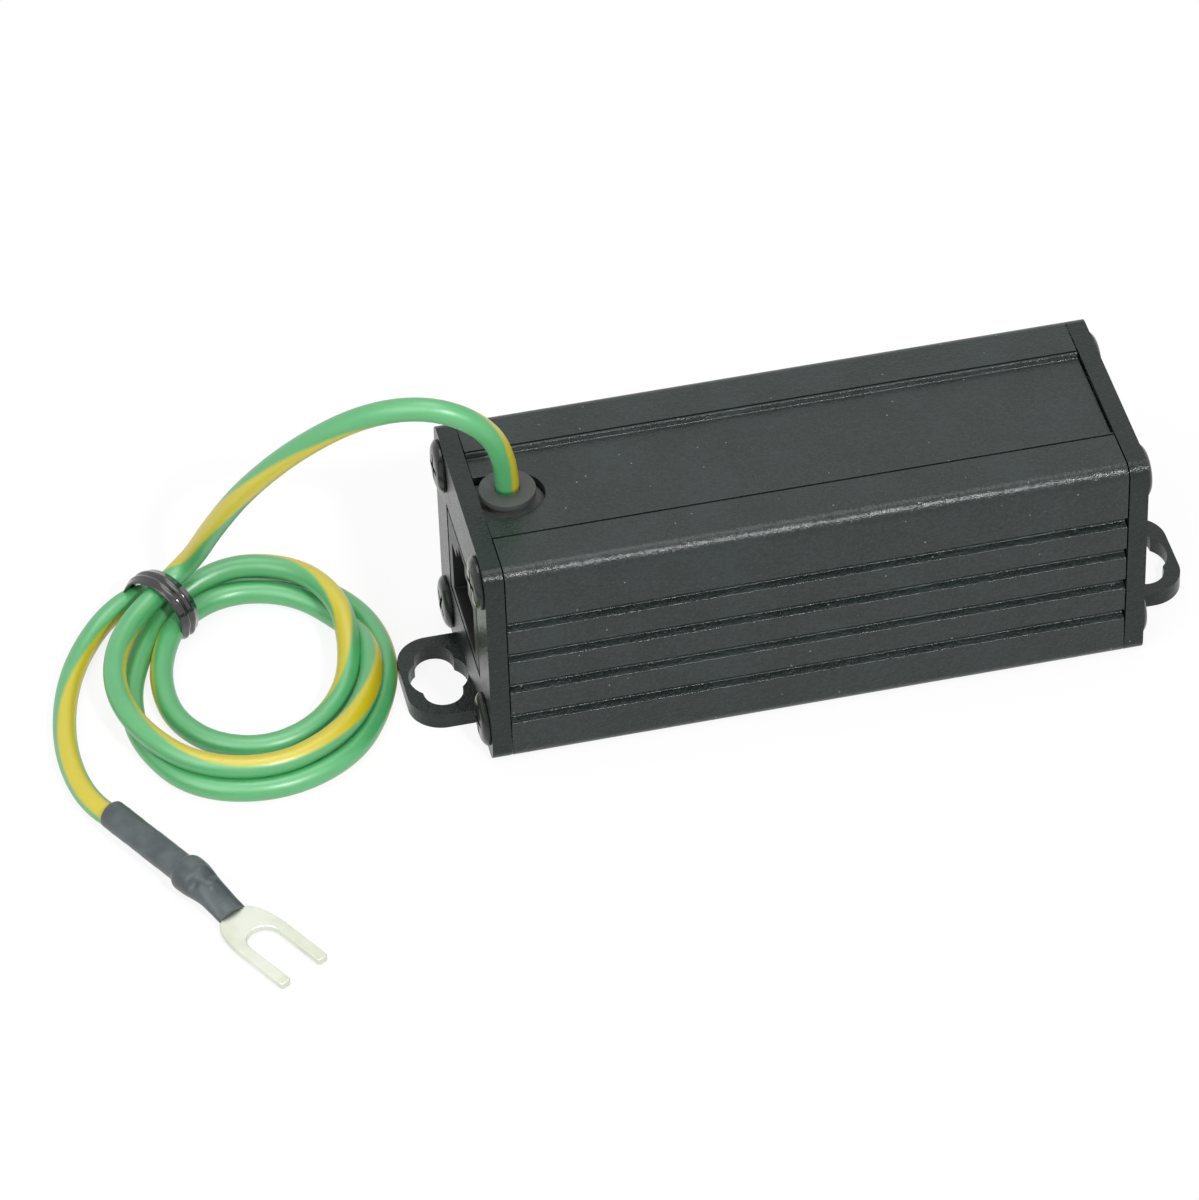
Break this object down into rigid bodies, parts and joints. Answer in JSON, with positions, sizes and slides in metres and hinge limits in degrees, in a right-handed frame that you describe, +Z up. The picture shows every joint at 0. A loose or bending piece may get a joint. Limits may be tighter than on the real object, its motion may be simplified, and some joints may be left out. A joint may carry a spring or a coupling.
{
  "type": "ethernet surge protector",
  "caption": "In-line network surge protector: grooved aluminium case with a socket at each end, slotted mounting feet and a coiled earth wire that ends in a fork terminal.",
  "frame": {"origin": "on the base plane, under the middle of the case", "axes": "+X from the cable end, where the earth wire leaves, to the equipment end; +Y to the back; +Z up"},
  "size_m": [0.1326, 0.0708, 0.0421],
  "materials": {
    "case_grey": "dark grey anodised, satin",
    "screw_dark": "blackened",
    "socket_black": "moulded, glossy",
    "insert_black": "moulded, matt",
    "contact_gold": "gold plated",
    "board_green": "lacquered",
    "arrester_ceramic": "glazed ceramic",
    "component_black": "moulded, matt",
    "tinned_metal": "tin plated",
    "grommet_rubber": "matt",
    "wire_green": "green with a yellow stripe, satin",
    "tie_black": "smooth, glossy",
    "sleeve_grey": "satin"
  },
  "bodies": {
    "root": {"housing_extrusion": "case_grey", "cable_end_plate": "case_grey", "equipment_end_plate": "case_grey", "cable_end_screws": "screw_dark", "equipment_end_screws": "screw_dark", "cable_jack_housing": "socket_black", "equipment_jack_housing": "socket_black", "cable_jack_insert": "insert_black", "equipment_jack_insert": "insert_black", "cable_jack_contacts": "contact_gold", "equipment_jack_contacts": "contact_gold", "circuit_board": "board_green", "gas_discharge_tubes": "arrester_ceramic", "line_resistors": "component_black", "clamp_diodes": "component_black", "earth_lug": "tinned_metal", "earth_screw": "tinned_metal", "earth_nut": "tinned_metal", "earth_lead_inside": "wire_green", "cable_grommet": "grommet_rubber", "earth_wire_lead": "wire_green", "earth_wire_coil": "wire_green", "earth_wire_tail": "wire_green", "wire_tie": "tie_black", "heat_shrink_sleeve": "sleeve_grey", "fork_terminal": "tinned_metal"}
  },
  "joints": []
}
